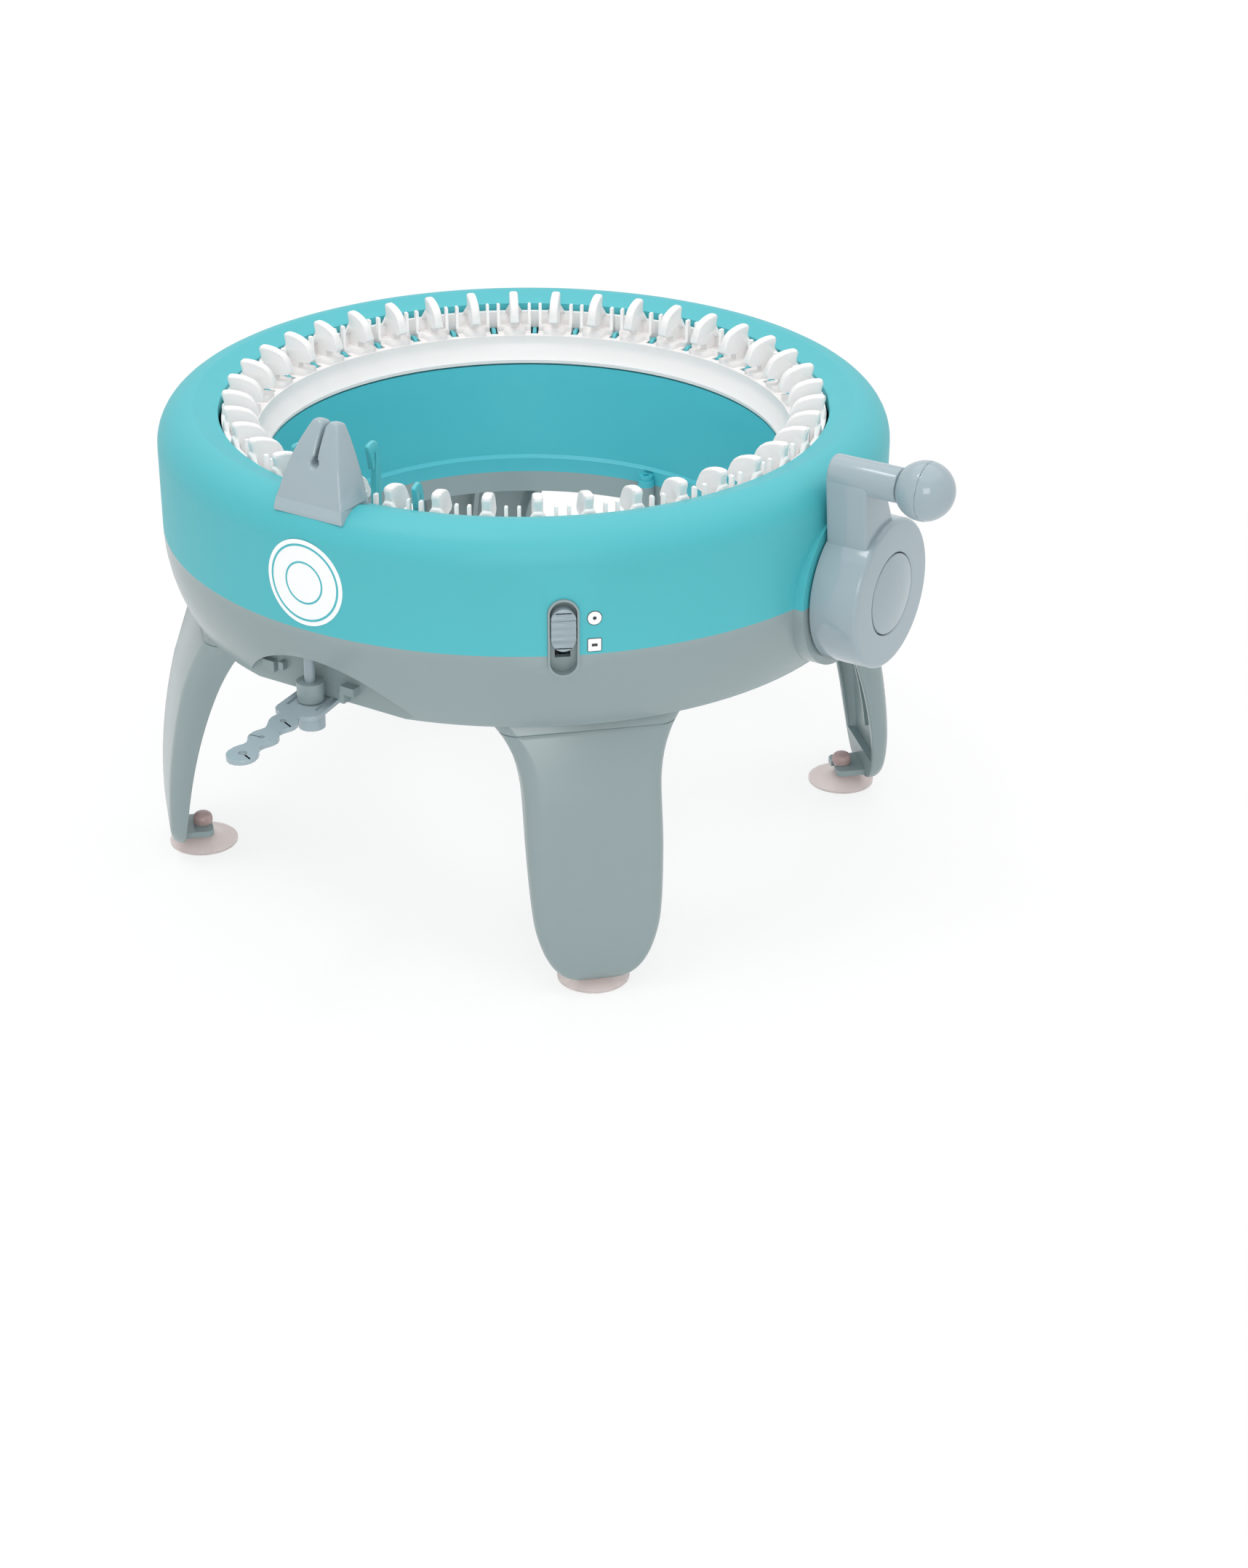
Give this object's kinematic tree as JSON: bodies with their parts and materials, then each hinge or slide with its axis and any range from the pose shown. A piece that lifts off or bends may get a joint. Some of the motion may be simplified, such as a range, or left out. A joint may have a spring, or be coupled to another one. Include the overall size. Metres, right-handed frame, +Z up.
{
  "type": "round knitting loom",
  "caption": "Circular knitting loom on four curved legs: a side crank turns a ring of hooked needles past a yarn feeder, with a mode selector, a tension arm and suction-cup feet.",
  "frame": {"origin": "on the needle ring's axis, at the level of the floor that the suction cups stand on", "axes": "+Z up along the ring's axis; the legs stand at +X, +Y, -X and -Y, the crank points between +X and -Y, and the yarn feeder and tension arm stand between -X and -Y"},
  "size_m": [0.2396, 0.2396, 0.1695],
  "materials": {
    "teal_shell": "satin moulded plastic",
    "grey_shell": "satin moulded plastic",
    "white_plastic": "smooth moulded plastic",
    "teal_needle": "smooth moulded plastic",
    "maroon_needle": "smooth moulded plastic",
    "cup_rubber": "soft clear vinyl",
    "steel": "plated"
  },
  "bodies": {
    "frame": {"top_housing": "teal_shell", "base_housing": "grey_shell", "inner_sleeve": "teal_shell", "sleeve_screws": "steel", "lift_cam": "grey_shell", "yarn_feeder": "grey_shell", "feeder_screw": "steel", "crank_bush": "white_plastic", "selector_plate": "grey_shell", "leg_front": "grey_shell", "leg_right": "grey_shell", "leg_rear": "grey_shell", "leg_left": "grey_shell", "leg_screws": "steel", "suction_cup_front": "cup_rubber", "suction_cup_right": "cup_rubber", "suction_cup_rear": "cup_rubber", "suction_cup_left": "cup_rubber", "tensioner_pin": "grey_shell"},
    "ring": {"needle_ring": "white_plastic", "crown_gear": "white_plastic", "needle_set": "teal_needle", "marker_needle": "maroon_needle"},
    "needle_1": {"raised_needle_1": "teal_needle"},
    "needle_2": {"raised_needle_2": "teal_needle"},
    "needle_3": {"raised_needle_3": "teal_needle"},
    "needle_4": {"raised_needle_4": "teal_needle"},
    "crank": {"crank_handle": "grey_shell", "crank_cap": "grey_shell", "crank_shaft": "steel", "pinion": "white_plastic", "crank_screw": "steel"},
    "knob": {"knob_back": "grey_shell", "knob_front": "grey_shell"},
    "selector": {"selector_button": "grey_shell", "selector_catch": "white_plastic"},
    "tensioner": {"tension_arm": "grey_shell"}
  },
  "joints": [
    {"name": "crank_turn", "type": "hinge", "parent": "frame", "child": "crank", "pos_m": [0.08061, -0.08061, 0.1097], "axis": [0.7071, -0.7071, 0], "continuous": true},
    {"name": "knob_spin", "type": "hinge", "parent": "crank", "child": "knob", "pos_m": [0.0942, -0.1103, 0.1494], "axis": [0.7071, -0.7071, 0], "continuous": true},
    {"name": "ring_turn", "type": "hinge", "parent": "frame", "child": "ring", "pos_m": [0, 0, 0.0949], "axis": [0, 0, 1], "continuous": true},
    {"name": "selector_slide", "type": "slide", "parent": "frame", "child": "selector", "axis": [0, 0, -1], "range_m": [0, 0.0065]},
    {"name": "tensioner_swing", "type": "hinge", "parent": "frame", "child": "tensioner", "pos_m": [-0.07939, -0.073, 0.082], "axis": [0, 0, 1], "range_deg": [-90, 90]},
    {"name": "yarn_needle_1", "type": "slide", "parent": "ring", "child": "needle_1", "axis": [0, 0, 1], "range_m": [-0.01638, 0.00962]},
    {"name": "yarn_needle_2", "type": "slide", "parent": "ring", "child": "needle_2", "axis": [0, 0, 1], "range_m": [-0.026, 0]},
    {"name": "yarn_needle_3", "type": "slide", "parent": "ring", "child": "needle_3", "axis": [0, 0, 1], "range_m": [-0.02301, 0.00299]},
    {"name": "yarn_needle_4", "type": "slide", "parent": "ring", "child": "needle_4", "axis": [0, 0, 1], "range_m": [-0.01256, 0.01344]}
  ],
  "couplings": [
    {"joint": "crank_turn", "follows": "ring_turn", "ratio": 8}
  ]
}
